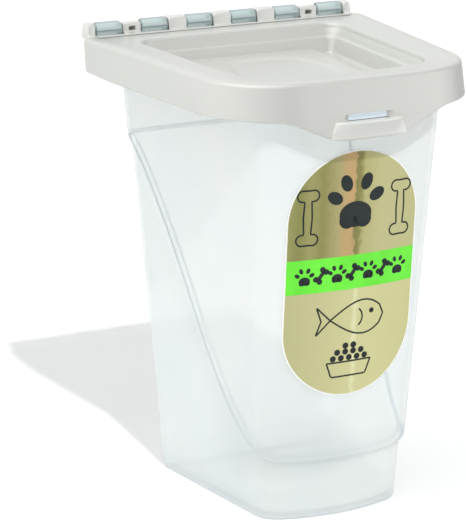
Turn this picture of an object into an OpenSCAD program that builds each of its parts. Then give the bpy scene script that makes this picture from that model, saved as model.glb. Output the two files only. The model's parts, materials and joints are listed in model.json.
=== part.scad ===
// Flip-top pet food bin: a tapered clear container, a pearl lid on a row of
// hinge knuckles along its back edge, and a flexing front latch tab.
// Millimetres. +Z is up, the front with the label faces -Y, and the origin
// is on the ground under the middle of the bin.

/* [Container] */
// Width of the base at its front
base_front_w = 88; // [80:1:92]
// Width of the base at its back
base_back_w = 119; // [112:1:124]
// Front of the base, from the origin
base_front_y = -62; // [-66:1:-58]
// Back of the base, from the origin
base_back_y = 58.5; // [55:0.5:62]
// Width of the mouth at its front
mouth_front_w = 112.6; // [108:0.2:116]
// Width of the mouth at its back
mouth_back_w = 151.4; // [148:0.2:156]
// Front of the mouth, from the origin
mouth_front_y = -83; // [-84:0.5:-80]
// Back of the mouth, from the origin
mouth_back_y = 77; // [74:0.5:78]
// Height of the walls, up to the shoulder under the lid
wall_h = 240.4; // [238:0.2:242]
// Wall thickness of the container
wall_t = 2; // [1.6:0.1:2.4]
// How far the upper and front walls stand proud of the lower ones
step_out = 2.5; // [1.5:0.1:3]
// Height of the step across the front wall
step_front_z = 36; // [30:1:44]
// Height of the step across the back wall
step_back_z = 206; // [190:1:212]

/* [Lid] */
// Width of the lid at its front
lid_front_w = 152; // [148:0.5:156]
// Width of the lid at its back
lid_back_w = 187.6; // [186:0.2:190]
// Depth of the lid, front to back
lid_d = 183.4; // [183:0.2:184]
// Height of the lid's flat top above the ground
lid_top_z = 262.4; // [262:0.1:262.6]
// Height of the bottom edge of the lid's skirt
skirt_z = 242.4; // [242.2:0.1:242.6]
// Thickness of the lid's flat top
lid_t = 2.5; // [2:0.1:2.6]
// Wall thickness of the sunken pan in the lid
pan_t = 1.6; // [1.4:0.1:1.8]
// Height of the pan's floor
pan_floor_z = 244.6; // [244.4:0.1:246]
// Height of the raised middle of the pan's floor above it
plateau_h = 4.6; // [3:0.1:5]

/* [Hinge] */
// Height of the hinge axis above the ground
axis_z = 264.4; // [264:0.1:264.8]
// Distance of the hinge axis behind the origin
axis_y = 94.5; // [94.3:0.1:94.7]
// Outer radius of a knuckle
knuckle_r = 5; // [4.8:0.1:5.2]
// Distance from one knuckle to the next
knuckle_pitch = 29.5; // [29.4:0.1:29.7]
// Length of one knuckle
knuckle_len = 17.2; // [17:0.1:17.4]
// Width of one lid block
block_w = 11.7; // [11.4:0.1:11.7]
// Radius of the hinge pins
pin_r = 1.6; // [1.4:0.1:1.8]
// Radial play of a knuckle on its pin
pin_play = 0.06; // [0.04:0.01:0.1]

/* [Latch] */
// Width of the latch tab where it leaves the skirt
tab_w = 110; // [104:1:112]
// Height of the latch tab
tab_h = 13; // [12:0.5:13.5]
// Width of the slot over the catch
slot_w = 30; // [28:1:34]
// Width of the thumb lip
lip_w = 44; // [40:1:48]
// How far the thumb lip stands out
lip_out = 5.4; // [4:0.1:5.6]

/* [Label] */
// Width of the label
label_w = 80; // [70:1:84]
// Height of the label
label_h = 143.5; // [130:0.5:146]
// Height of the label's middle
label_z = 148; // [146:1:150]
// Thickness of the label foil
label_t = 0.3; // [0.2:0.05:0.4]
// Height of the coloured band round the label's middle
band_h = 20; // [16:1:24]

/* [Hidden] */
// Steps along the front arc, a front corner and a back corner of a plan
front_steps = 6;
corner_steps = 6;
back_steps = 4;
// Thin slab that a hull is stretched between
slab = 0.01;
// Overshoot of a cutting solid
cut = 1;
base_bow = 9.5;
mouth_bow = 5.6;
lid_bow = 6.75;
floor_t = 2.2;
base_edge = 1.5;
// The rim collar stands on the shoulder, inside the skirt
rim_top_z = 258;
shoulder_t = 1.8;
rim_front_w = 139.6;
rim_front_y = -88.5;
rim_back_w = 172;
rim_back_y = 84.5;
// The skirt flares out towards its bottom edge and is rounded over at the top
skirt_t = 2;
flare = 2;
round_z = 259.9;
top_band = 6;
lid_under_z = lid_top_z - lid_t;
// The lid's back edge is cut back between its two ears
hinge_half = 86.8;
panel_back_y = 88.6;
// The sunken pan narrows by a small ledge on its way down
ledge_z = 254;
pan_in = [0, 1.5, 3, 5];
// Lid blocks are rounded squares about the hinge axis
block_r = 2.4;
window_half = 3.7;
window_w = 4.4;
window_low = -1.2;
window_high = 2;
window_x = 2 * knuckle_pitch;
pin_gap_x = 2.4;
ear_in_x = 82.9;
// Catch and slot
lug_w = 25;
lug_low_z = 240.6;
lug_high_z = 243.8;
lug_tip_y = -91.1;
lug_chamfer = 1.2;
slot_low_z = 240.2;
slot_high_z = 244.6;
// The latch tab is deepest across its middle and fades out at both sides
tab_flat_w = 28;
tab_steps = 14;
tab_lean = 0.8;
lip_low_z = 231;

// Plan outline with a bowed front, tapering sides and a straight back.
// hf and hb are the half widths at the front and the back.
function plan(hf, hb, yf, yb, bow, rf, rb) =
    let (
        tap = (hb - hf) / (yb - yf - bow),
        r = (hf * hf + bow * bow) / (2 * bow),
        cy = yf + r,
        nx = 1 / sqrt(1 + tap * tap),
        ny = -tap * nx,
        d = nx * hf + ny * (yf + bow),
        px = nx * (d - rf),
        py = ny * (d - rf) - cy,
        b = py * nx - px * ny,
        s = -b - sqrt(b * b - px * px - py * py + (r - rf) * (r - rf)),
        fx = px - ny * s,
        fy = py + nx * s + cy,
        a0 = atan2(fy - cy, fx),
        a1 = atan2(ny, nx),
        by = yb - rb,
        bx = (d - rb - ny * by) / nx,
        half = concat(
            [for (i = [0:front_steps]) let (a = -90 + (a0 + 90) * i / front_steps)
                [r * cos(a), cy + r * sin(a)]],
            [for (i = [1:corner_steps]) let (a = a0 + (a1 - a0) * i / corner_steps)
                [fx + rf * cos(a), fy + rf * sin(a)]],
            [for (i = [0:back_steps]) let (a = a1 + (90 - a1) * i / back_steps)
                [bx + rb * cos(a), by + rb * sin(a)]])
    )
    concat(half, [for (i = [len(half) - 1:-1:1]) [-half[i][0], half[i][1]]]);

// The plans of the base, the mouth, the rim collar, the lid, the pan and the
// raised middle of its floor, grown by g
function base_plan(g) = plan(base_front_w / 2 + g, base_back_w / 2 + g,
    base_front_y - g, base_back_y + g, base_bow, 16 + g, 6 + g);
function mouth_plan(g) = plan(mouth_front_w / 2 + g, mouth_back_w / 2 + g,
    mouth_front_y - g, mouth_back_y + g, mouth_bow, 14 + g, 8 + g);
function rim_plan(g) = plan(rim_front_w / 2 + g, rim_back_w / 2 + g,
    rim_front_y - g, rim_back_y + g, lid_bow, 40 + g, 8 + g);
function lid_plan(g) = plan(lid_front_w / 2 + g, lid_back_w / 2 + g,
    -lid_d / 2 - g, lid_d / 2 + g, lid_bow, 46 + g, 9 + g);
function pan_plan(g) = plan(58 + g, 66 + g, -69 - g, 68 + g, 5, 24 + g, 10 + g);
function plateau_plan(g) = plan(36 + g, 46 + g, -50 - g, 60 + g, 5, 22 + g, 10 + g);

// A point on a cubic curve
function cubic(p, t) = pow(1 - t, 3) * p[0] + 3 * t * pow(1 - t, 2) * p[1]
    + 3 * t * t * (1 - t) * p[2] + pow(t, 3) * p[3];

// Side view of the step: flat across the front, up in a long S, flat across the back
mid_point = [8.5, 116.3];
step_low = [[-72, step_front_z], [-34, step_front_z], [-8.1, 84.4], mid_point];
step_high = [mid_point, [29.8, 157.1], [60, step_back_z - 3], [72, step_back_z]];

module plate(points, low, high) {
    translate([0, 0, low])
        linear_extrude(high - low)
            polygon(points);
}

// Solid of the container's outside, or of its inside, grown by g
module wall_solid(g, low, high) {
    hull() {
        plate(base_plan(g - base_edge), low, low + slab);
        plate(base_plan(g), low + base_edge, low + base_edge + slab);
        plate(mouth_plan(g - step_out), high - slab, high);
    }
}

// Everything above and in front of the step line
module proud_space() {
    path = concat(
        [[-120, step_front_z]],
        [for (i = [0:7]) cubic(step_low, i / 8)],
        [for (i = [0:8]) cubic(step_high, i / 8)],
        [[120, step_back_z], [120, wall_h + 20], [-120, wall_h + 20]]);
    rotate([90, 0, 90])
        linear_extrude(240, center = true)
            polygon(path);
}

// A solid with the same side view all across X, from points (y, z)
module across(points, x, w) {
    translate([x - w / 2, 0, 0])
        rotate([90, 0, 90])
            linear_extrude(w)
                polygon(points);
}

module x_rod(x, length, r) {
    translate([x, axis_y, axis_z])
        rotate([0, 90, 0])
            cylinder(h = length, r = r, center = true, $fn = 48);
}

// Rounded square about the hinge axis, with a web forward to the lid's flat top
module lid_block(x, w, half) {
    difference() {
        union() {
            translate([x, axis_y, axis_z])
                rotate([90, 0, 90])
                    linear_extrude(w, center = true)
                        offset(block_r, $fn = 24)
                            square(2 * (half - block_r), center = true);
            across([[panel_back_y, lid_under_z], [axis_y - half + 1, lid_under_z],
                [axis_y - half + 1, lid_top_z], [panel_back_y, lid_top_z]], x, w);
        }
        x_rod(x, w + 2 * cut, pin_r);
    }
}

module container_shell() {
    color([0.85, 0.9, 0.92, 0.5])
        difference() {
            union() {
                wall_solid(0, 0, wall_h);
                intersection() {
                    wall_solid(step_out, 0, wall_h);
                    proud_space();
                }
            }
            wall_solid(-wall_t, floor_t, wall_h + cut);
            intersection() {
                wall_solid(step_out - wall_t, floor_t, wall_h + cut);
                translate([0, -wall_t, wall_t])
                    proud_space();
            }
        }
}

module container_rim() {
    color([0.85, 0.9, 0.92, 0.5])
        difference() {
            plate(rim_plan(0), wall_h, rim_top_z);
            plate(mouth_plan(-wall_t), wall_h - cut, rim_top_z + cut);
            plate(rim_plan(-wall_t), wall_h + shoulder_t, rim_top_z + cut);
        }
}

module hinge_knuckles() {
    arm = [[rim_back_y, 246], [rim_back_y, 257], [axis_y - 4.5, 257], [axis_y - knuckle_r, axis_z],
        [axis_y + knuckle_r, axis_z], [axis_y + knuckle_r, 256], [axis_y - 2, 246]];
    color([0.75, 0.85, 0.9, 0.6])
        for (i = [-2.5:1:2.5])
            difference() {
                union() {
                    x_rod(i * knuckle_pitch, knuckle_len, knuckle_r);
                    across(arm, i * knuckle_pitch, knuckle_len);
                }
                x_rod(i * knuckle_pitch, knuckle_len + 2 * cut, pin_r + pin_play);
            }
}

module catch_lug() {
    color([0.75, 0.85, 0.9, 0.6])
        difference() {
            across([[-82, lug_high_z], [lug_tip_y + lug_chamfer, lug_high_z],
                [lug_tip_y, lug_high_z - lug_chamfer],
                [lug_tip_y, lug_low_z], [-82, lug_low_z]], 0, lug_w);
            plate(rim_plan(0), lug_low_z - cut, lug_high_z + cut);
        }
}

// A thin skin on the front wall, between g_in and g_out from its surface
module front_skin(g_in, g_out) {
    difference() {
        wall_solid(step_out + g_out, 0, wall_h);
        wall_solid(step_out + g_in, 0, wall_h);
    }
}

module stadium_prism() {
    translate([0, -50, label_z])
        rotate([90, 0, 0])
            linear_extrude(60)
                hull() {
                    translate([0, (label_h - label_w) / 2])
                        circle(d = label_w, $fn = 64);
                    translate([0, -(label_h - label_w) / 2])
                        circle(d = label_w, $fn = 64);
                }
}

module front_label() {
    color([0.8, 0.74, 0.5])
        intersection() {
            front_skin(0, label_t);
            stadium_prism();
        }
}

module label_band() {
    color([0.3, 0.85, 0.2])
        intersection() {
            front_skin(label_t, label_t + 0.15);
            translate([-label_w / 2, -110, label_z - band_h / 2 + 1.5])
                cube([label_w, 60, band_h]);
        }
}

// Cuts the lid's back edge away between the ears
module hinge_cut() {
    translate([-hinge_half, panel_back_y, skirt_z - cut])
        cube([2 * hinge_half, 40, 40]);
}

module lid_panel() {
    color([0.88, 0.86, 0.83])
        difference() {
            plate(lid_plan(-top_band), lid_under_z, lid_top_z);
            plate(pan_plan(pan_t), lid_under_z - cut, lid_top_z + cut);
            hinge_cut();
        }
}

module slot_prism(low, high) {
    translate([-slot_w / 2, -110, low])
        cube([slot_w, 40, high - low]);
}

module lid_skirt() {
    color([0.86, 0.84, 0.81])
        difference() {
            hull() {
                plate(lid_plan(flare), skirt_z, skirt_z + slab);
                plate(lid_plan(0), round_z, round_z + slab);
                plate(lid_plan(-0.7), lid_top_z - 0.7, lid_top_z - 0.7 + slab);
                plate(lid_plan(-2.4), lid_top_z - slab, lid_top_z);
            }
            hull() {
                plate(lid_plan(flare - skirt_t), skirt_z - cut, skirt_z);
                plate(lid_plan(-skirt_t), lid_under_z - slab, lid_under_z);
            }
            plate(lid_plan(-top_band), skirt_z, lid_top_z + cut);
            hinge_cut();
            slot_prism(skirt_z - cut, slot_high_z);
        }
}

module plateau() {
    difference() {
        plate(plateau_plan(0), pan_floor_z - pan_t, pan_floor_z + plateau_h);
        plate(plateau_plan(-pan_t), pan_floor_z - pan_t - cut, pan_floor_z + plateau_h - pan_t);
    }
}

module pan_tray() {
    difference() {
        union() {
            plate(pan_plan(pan_t), lid_under_z, lid_top_z);
            hull() {
                plate(pan_plan(pan_t), lid_under_z - slab, lid_under_z);
                plate(pan_plan(pan_t - pan_in[1]), ledge_z - pan_t, ledge_z - pan_t + slab);
            }
            hull() {
                plate(pan_plan(pan_t - pan_in[2]), ledge_z - pan_t, ledge_z);
                plate(pan_plan(pan_t - pan_in[3]), pan_floor_z - pan_t, pan_floor_z);
            }
        }
        plate(plateau_plan(-pan_t), pan_floor_z - pan_t - cut, pan_floor_z);
        hull() {
            plate(pan_plan(-pan_in[0]), lid_top_z, lid_top_z + cut);
            plate(pan_plan(-pan_in[1]), ledge_z, ledge_z + slab);
        }
        hull() {
            plate(pan_plan(-pan_in[2]), ledge_z, ledge_z + cut);
            plate(pan_plan(-pan_in[3]), pan_floor_z, pan_floor_z + slab);
        }
    }
}

module lid_pan() {
    color([0.84, 0.82, 0.79]) {
        plateau();
        pan_tray();
    }
}

module hinge_blocks() {
    color([0.9, 0.88, 0.85])
        for (i = [-1:1])
            lid_block(i * knuckle_pitch, block_w, knuckle_r);
}

module hinge_windows() {
    color([0.9, 0.88, 0.85])
        for (side = [-1, 1])
            difference() {
                lid_block(side * window_x, block_w, window_half);
                translate([side * window_x - window_w / 2, axis_y - 20, axis_z + window_low])
                    cube([window_w, 40, window_high - window_low]);
            }
}

module hinge_ears() {
    ear_w = hinge_half - ear_in_x;
    color([0.9, 0.88, 0.85])
        for (side = [-1, 1])
            lid_block(side * (ear_in_x + ear_w / 2), ear_w, knuckle_r);
}

module hinge_pins() {
    outer_x = window_x + pin_gap_x;
    inner_x = window_x - pin_gap_x;
    color([0.92, 0.92, 0.92]) {
        x_rod(0, 2 * inner_x, pin_r);
        for (side = [-1, 1])
            x_rod(side * (outer_x + hinge_half) / 2, hinge_half - outer_x, pin_r);
    }
}

// Depth of the latch tab at x, as a share of its full depth
function tab_share(x) =
    let (t = max(0, (abs(x) - tab_flat_w / 2) / (tab_w / 2 - tab_flat_w / 2)))
    1 - t * t * (3 - 2 * t);

module tab_prism() {
    points = [for (i = [-tab_steps:tab_steps]) let (x = i / tab_steps * tab_w / 2)
        [x, skirt_z - tab_h * tab_share(x)]];
    translate([0, -50, 0])
        rotate([90, 0, 0])
            linear_extrude(60)
                polygon(points);
}

module tab_shell(g) {
    hull() {
        plate(lid_plan(g), skirt_z - slab, skirt_z);
        plate(lid_plan(g + tab_lean), skirt_z - 16, skirt_z - 16 + slab);
    }
}

module latch_tab() {
    color([0.84, 0.82, 0.79])
        difference() {
            intersection() {
                tab_shell(flare);
                tab_prism();
            }
            translate([0, 0, slab])
                tab_shell(flare - skirt_t);
            slot_prism(slot_low_z, skirt_z + cut);
        }
}

module thumb_lip() {
    lip_y = -lid_d / 2 - flare;
    color([0.88, 0.86, 0.83])
        difference() {
            across([[-80, lip_low_z], [lip_y - 1.2, lip_low_z], [lip_y - lip_out, slot_low_z - 1.2],
                [lip_y - lip_out + 0.6, slot_low_z - 0.2], [-80, slot_low_z - 0.2]], 0, lip_w);
            tab_shell(flare);
        }
}

container_shell();
container_rim();
hinge_knuckles();
catch_lug();
front_label();
label_band();
lid_panel();
lid_skirt();
lid_pan();
hinge_blocks();
hinge_windows();
hinge_ears();
hinge_pins();
latch_tab();
thumb_lip();
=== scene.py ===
"""Flip-top pet food bin: the looks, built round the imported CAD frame.

Shapes are worked out in millimetres and turned into metres when a mesh is made.
"""

import json
import math

import bmesh
import bpy
import numpy as np
from mathutils import Matrix, Vector


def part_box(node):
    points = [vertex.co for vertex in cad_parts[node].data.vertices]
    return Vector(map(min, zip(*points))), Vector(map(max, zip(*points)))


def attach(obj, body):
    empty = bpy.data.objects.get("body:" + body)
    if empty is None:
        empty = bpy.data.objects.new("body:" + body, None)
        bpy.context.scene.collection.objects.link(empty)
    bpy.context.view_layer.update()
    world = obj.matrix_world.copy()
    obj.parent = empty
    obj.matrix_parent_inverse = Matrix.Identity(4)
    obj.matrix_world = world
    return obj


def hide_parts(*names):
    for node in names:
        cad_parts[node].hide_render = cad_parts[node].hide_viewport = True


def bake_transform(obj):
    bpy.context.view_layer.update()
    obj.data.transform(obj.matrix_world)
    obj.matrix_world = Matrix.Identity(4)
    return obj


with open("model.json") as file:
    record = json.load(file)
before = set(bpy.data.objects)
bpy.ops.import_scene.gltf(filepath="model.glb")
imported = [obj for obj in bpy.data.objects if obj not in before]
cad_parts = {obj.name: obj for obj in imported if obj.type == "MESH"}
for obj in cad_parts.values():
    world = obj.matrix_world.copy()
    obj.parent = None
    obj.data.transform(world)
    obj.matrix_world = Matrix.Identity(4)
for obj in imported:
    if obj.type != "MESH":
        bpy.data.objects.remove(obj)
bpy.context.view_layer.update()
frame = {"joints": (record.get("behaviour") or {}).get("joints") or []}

MM = 0.001


def box_mm(node):
    low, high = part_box(node)
    return low / MM, high / MM


# ---------------------------------------------------------------- sizes, in mm

JOINTS = {joint["name"]: joint for joint in frame["joints"]}
AXIS_Y, AXIS_Z = (value / MM for value in JOINTS["lid_hinge"]["pos_m"][1:])

shell_low, shell_high = box_mm("container_shell")
rim_low, rim_high = box_mm("container_rim")
panel_high = box_mm("lid_panel")[1]
skirt_low, skirt_high = box_mm("lid_skirt")
pan_low, pan_high = box_mm("lid_pan")
knuckle_low, knuckle_high = box_mm("hinge_knuckles")
block_low, block_high = box_mm("hinge_blocks")
ear_high = box_mm("hinge_ears")[1]
window_high = box_mm("hinge_windows")[1]
lug_low, lug_high = box_mm("catch_lug")
tab_low, tab_high = box_mm("latch_tab")
lip_low = box_mm("thumb_lip")[0]
label_low, label_high = box_mm("front_label")
band_low, band_high = box_mm("label_band")

WALL_H = shell_high.z
WALL_T = 2.0
FLOOR_T = 2.2
STEP_OUT = 2.5
STEP_W = 1.7
LID_TOP = skirt_high.z
LID_T = 2.5
SKIRT_Z = skirt_low.z
SKIRT_T = 2.0
FLARE = 2.0
PAN_T = 1.6
PAN_FLOOR = pan_low.z + PAN_T
REAR_Y = panel_high.y
NOTCH_X = ear_high.x
KNUCKLE_R = knuckle_high.z - AXIS_Z
KNUCKLES = 6
KNUCKLE_LEN = 17.2
BLOCK_EDGE_R = 2.4
WINDOW_EDGE_R = 1.3
PIN_R = 1.6
PIN_GAP = 2.4
EAR_IN_X = 82.9


class Plan:
    """Outline with a bowed front, tapering sides and a straight back."""

    def __init__(self, front_half, back_half, front_y, back_y, bow, front_r, back_r):
        self.sizes = (front_half, back_half, front_y, back_y, bow, front_r, back_r)
        taper = (back_half - front_half) / (back_y - front_y - bow)
        self.arc_r = (front_half**2 + bow**2) / (2 * bow)
        self.arc_y = front_y + self.arc_r
        nx = 1 / math.hypot(1, taper)
        ny = -taper * nx
        away = nx * front_half + ny * (front_y + bow)
        px, py = nx * (away - front_r), ny * (away - front_r) - self.arc_y
        b = py * nx - px * ny
        s = -b - math.sqrt(b * b - px * px - py * py + (self.arc_r - front_r) ** 2)
        self.front_corner = (px - ny * s, py + nx * s + self.arc_y, front_r)
        self.back_corner = ((away - back_r - ny * (back_y - back_r)) / nx, back_y - back_r, back_r)
        self.corner_a = math.atan2(self.front_corner[1] - self.arc_y, self.front_corner[0])
        self.side_a = math.atan2(ny, nx)
        self.back_y = back_y

    def grown(self, g):
        front_half, back_half, front_y, back_y, bow, front_r, back_r = self.sizes
        return Plan(front_half + g, back_half + g, front_y - g, back_y + g, bow, front_r + g, back_r + g)

    def front_y_at(self, x):
        return self.arc_y - np.sqrt(self.arc_r**2 - np.square(x))

    def sections(self, counts, back_end=math.pi / 2):
        """Right half from the middle of the front to the end of the back corner."""
        front, corner, side, back = counts
        rows = [arc(0, self.arc_y, self.arc_r, -math.pi / 2, self.corner_a, front)]
        rows.append(arc(*self.front_corner, self.corner_a, self.side_a, corner)[1:])
        last = arc(*self.back_corner, self.side_a, back_end, back)
        rows.append(line(rows[-1][-1], last[0], side)[1:-1])
        rows.append(last)
        return np.vstack(rows)

    def half(self, counts, back_count):
        body = self.sections(counts)
        return np.vstack([body, line(body[-1], (0, self.back_y), back_count)[1:]])


def arc(cx, cy, r, start, end, steps):
    angles = np.linspace(start, end, steps + 1)
    return np.column_stack([cx + r * np.cos(angles), cy + r * np.sin(angles)])


def line(start, end, steps):
    return np.linspace(start, end, steps + 1)


def smooth(t):
    return t * t * (3 - 2 * t)


BASE = Plan(44, 59.5, -62, 58.5, 9.5, 16, 6)
MOUTH = Plan(56.3, 75.7, shell_low.y, shell_high.y, 5.6, 14, 8)
RIM = Plan(69.8, 86, rim_low.y, rim_high.y, 6.75, 40, 8)
LID = Plan(76, 93.8, skirt_low.y + FLARE, -skirt_low.y - FLARE, 6.75, 46, 9)
PLATEAU = Plan(36, 46, -50, 60, 5, 22, 10)
PAN = Plan(58, 66, pan_low.y + PAN_T, pan_high.y - PAN_T, 5, 24, 10)


# ------------------------------------------------------------------ mesh tools


def full_ring(half, z):
    """Closed ring from its right half; z is a number or one height per point."""
    heights = np.broadcast_to(z, (len(half),))
    right = np.column_stack([half, heights])
    left = right[-2:0:-1] * (-1, 1, 1)
    return np.vstack([right, left])


def add_mesh(name, points, faces, sharp=35, crease_shades=None):
    """New object from points in mm; edges bent by more than sharp degrees stay crisp."""
    mesh = bpy.data.meshes.new(name)
    mesh.from_pydata([tuple(float(c) * MM for c in p) for p in points], [], faces)
    # Strength of painted shade at each point, stored on the mesh for the clear plastic
    if crease_shades is not None:
        mesh.attributes.new("crease_shade", "FLOAT", "POINT").data.foreach_set("value", crease_shades)
    obj = bpy.data.objects.new(name, mesh)
    bpy.context.scene.collection.objects.link(obj)
    tidy_mesh(obj, sharp)
    return obj


def tidy_mesh(obj, sharp=35):
    mesh = obj.data
    bm = bmesh.new()
    bm.from_mesh(mesh)
    bmesh.ops.remove_doubles(bm, verts=bm.verts, dist=1e-6)
    bmesh.ops.dissolve_degenerate(bm, edges=bm.edges, dist=1e-7)
    bmesh.ops.recalc_face_normals(bm, faces=bm.faces)
    bm.to_mesh(mesh)
    bm.free()
    for polygon in mesh.polygons:
        polygon.use_smooth = True
    mesh.set_sharp_from_angle(angle=math.radians(sharp))


def loft(name, rings, sharp=35, crease_shades=None):
    """Closed solid through rings of equal length, with a flat cap at each end.

    The last argument gives the strength of painted shade: one value for each ring, or one for each point of
    each ring.
    """
    n = len(rings[0])
    points = np.vstack(rings)
    faces = [tuple(range(n))[::-1]]
    for k in range(len(rings) - 1):
        for i in range(n):
            j = (i + 1) % n
            faces.append((k * n + i, k * n + j, (k + 1) * n + j, (k + 1) * n + i))
    last = (len(rings) - 1) * n
    faces.append(tuple(range(last, last + n)))
    if crease_shades is not None:
        per_ring = np.array(crease_shades, np.float32).reshape(len(rings), -1)
        crease_shades = np.broadcast_to(per_ring, (len(rings), n)).ravel()
    return add_mesh(name, points, faces, sharp, crease_shades)


def inset(outline, d):
    """Outline (n, 2), counter-clockwise, moved inwards by d."""
    before = outline - np.roll(outline, 1, axis=0)
    after = np.roll(outline, -1, axis=0) - outline
    before = before / np.linalg.norm(before, axis=1)[:, None]
    after = after / np.linalg.norm(after, axis=1)[:, None]
    normal = np.column_stack([-(before + after)[:, 1], (before + after)[:, 0]])
    normal = normal / np.linalg.norm(normal, axis=1)[:, None]
    cosine = np.maximum(0.4, normal[:, 0] * -before[:, 1] + normal[:, 1] * before[:, 0])
    return outline + normal * (d / cosine)[:, None]


def bar_along_x(name, outline, x0, x1, bevel, steps=3, painted_streaks=None):
    """Solid with side view outline (y, z) from x0 to x1, and rounded end edges.

    The last argument gives the strength of painted shade at each outline point, for painted dark streaks.
    The painted shade rises to at least 0.75 at the ends.
    """
    rings = []
    crease_shades = []
    for x, sign in ((x0, 1), (x1, -1)):
        turn = np.linspace(0, math.pi / 2, steps + 1)
        pairs = [(bevel * (1 - math.sin(a)), bevel * (1 - math.cos(a))) for a in turn]
        if sign < 0:
            pairs = pairs[::-1]
        for shrink, along in pairs:
            flat = inset(outline, shrink)
            xs = np.full(len(flat), x + sign * along)
            rings.append(np.column_stack([xs, flat]))
            if painted_streaks is not None:
                crease_shades.append(np.maximum(painted_streaks, 0.75 * min(1, shrink / bevel * 1.6)))
    return loft(name, rings, 50, crease_shades or None)


def rounded_box_outline(y0, y1, z0, z1, r, steps=5):
    """Counter-clockwise rounded rectangle in (y, z)."""
    corners = ((y1 - r, z0 + r, -90), (y1 - r, z1 - r, 0), (y0 + r, z1 - r, 90), (y0 + r, z0 + r, 180))
    return np.vstack([
        arc(cy, cz, r, math.radians(a), math.radians(a + 90), steps) for cy, cz, a in corners
    ])


def cut_away(obj, cutter, sharp=35):
    """Takes cutter out of obj for good, and removes cutter."""
    modifier = obj.modifiers.new("cut", "BOOLEAN")
    modifier.operation = "DIFFERENCE"
    modifier.solver = "MANIFOLD"
    modifier.object = cutter
    bpy.context.view_layer.update()
    cut = bpy.data.meshes.new_from_object(obj.evaluated_get(bpy.context.evaluated_depsgraph_get()))
    obj.modifiers.clear()
    obj.data = cut
    bpy.data.objects.remove(cutter)
    tidy_mesh(obj, sharp)


def thicken(obj, thickness, sharp=35):
    """Turns a sheet into a thin closed solid, outwards by thickness in mm."""
    modifier = obj.modifiers.new("thick", "SOLIDIFY")
    modifier.thickness = thickness * MM
    modifier.offset = 1
    bpy.context.view_layer.update()
    solid = bpy.data.meshes.new_from_object(obj.evaluated_get(bpy.context.evaluated_depsgraph_get()))
    obj.modifiers.clear()
    obj.data = solid
    tidy_mesh(obj, sharp)


# ------------------------------------------------------------------- materials


def new_material(name):
    material = bpy.data.materials.new(name)
    material.use_nodes = True
    nodes = material.node_tree.nodes
    return material, material.node_tree, nodes["Principled BSDF"]


def noise(tree, scale, detail=2.0, stretch=(1, 1, 1)):
    """Noise in the object's own space; scale is in 1/metre."""
    coords = tree.nodes.new("ShaderNodeTexCoord")
    mapping = tree.nodes.new("ShaderNodeMapping")
    mapping.inputs["Scale"].default_value = stretch
    texture = tree.nodes.new("ShaderNodeTexNoise")
    texture.inputs["Scale"].default_value = scale
    texture.inputs["Detail"].default_value = detail
    tree.links.new(coords.outputs["Object"], mapping.inputs["Vector"])
    tree.links.new(mapping.outputs["Vector"], texture.inputs["Vector"])
    return texture.outputs["Fac"]


def ramp(tree, source, stops):
    """Colour ramp over source; stops are (place, colour)."""
    node = tree.nodes.new("ShaderNodeValToRGB")
    elements = node.color_ramp.elements
    while len(elements) < len(stops):
        elements.new(0.5)
    for element, (place, colour) in zip(elements, stops):
        element.position = place
        element.color = (*colour, 1)
    tree.links.new(source, node.inputs["Fac"])
    return node.outputs["Color"]


def span(tree, source, low, high):
    """Maps source 0.3 to 0.7 onto low to high."""
    node = tree.nodes.new("ShaderNodeMapRange")
    node.inputs["From Min"].default_value = 0.3
    node.inputs["From Max"].default_value = 0.7
    node.inputs["To Min"].default_value = low
    node.inputs["To Max"].default_value = high
    tree.links.new(source, node.inputs["Value"])
    return node.outputs["Result"]


def bump(tree, shader, source, strength, depth):
    node = tree.nodes.new("ShaderNodeBump")
    node.inputs["Strength"].default_value = strength
    node.inputs["Distance"].default_value = depth * MM
    tree.links.new(source, node.inputs["Height"])
    tree.links.new(node.outputs["Normal"], shader.inputs["Normal"])


def clear_plastic(name, low, high, see_through, roughness, crease_shade_colour=None, painted_glow=0.0):
    """Milky see-through moulding, denser where it is seen edge on, and denser and painted darker where a
    mesh marks painted shade.

    The last argument is a little emission: a painted glow for a small piece, standing in for light that
    comes through the clear rim behind it.
    """
    material, tree, shader = new_material(name)
    colour = ramp(tree, noise(tree, 14, 3), [(0.35, low), (0.65, high)])
    facing = tree.nodes.new("ShaderNodeLayerWeight")
    facing.inputs["Blend"].default_value = 0.25
    density = tree.nodes.new("ShaderNodeMapRange")
    density.inputs["To Min"].default_value = 1 - see_through
    density.inputs["To Max"].default_value = 1 - see_through * 0.35
    tree.links.new(facing.outputs["Facing"], density.inputs["Value"])
    alpha = density.outputs["Result"]
    # Painted shade: where a mesh marks it, the colour turns to the darker shade colour and the plastic grows
    # more opaque, standing in for the dark lines that refraction draws along bends and in the knuckles
    if crease_shade_colour:
        crease_shade = tree.nodes.new("ShaderNodeAttribute")
        crease_shade.attribute_name = "crease_shade"
        mix = tree.nodes.new("ShaderNodeMix")
        mix.data_type = "RGBA"
        mix.inputs["B"].default_value = (*crease_shade_colour, 1)
        tree.links.new(crease_shade.outputs["Fac"], mix.inputs["Factor"])
        tree.links.new(colour, mix.inputs["A"])
        colour = mix.outputs["Result"]
        thicker = tree.nodes.new("ShaderNodeMath")
        thicker.operation = "MULTIPLY_ADD"
        thicker.inputs[1].default_value = 0.55
        thicker.use_clamp = True
        tree.links.new(crease_shade.outputs["Fac"], thicker.inputs[0])
        tree.links.new(alpha, thicker.inputs[2])
        alpha = thicker.outputs["Value"]
    tree.links.new(colour, shader.inputs["Base Color"])
    tree.links.new(alpha, shader.inputs["Alpha"])
    tree.links.new(span(tree, noise(tree, 90), *roughness), shader.inputs["Roughness"])
    bump(tree, shader, noise(tree, 700, 3), 0.15, 0.05)
    shader.inputs["IOR"].default_value = 1.49
    shader.inputs["Emission Color"].default_value = (*high, 1)
    shader.inputs["Emission Strength"].default_value = painted_glow
    return material


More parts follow.
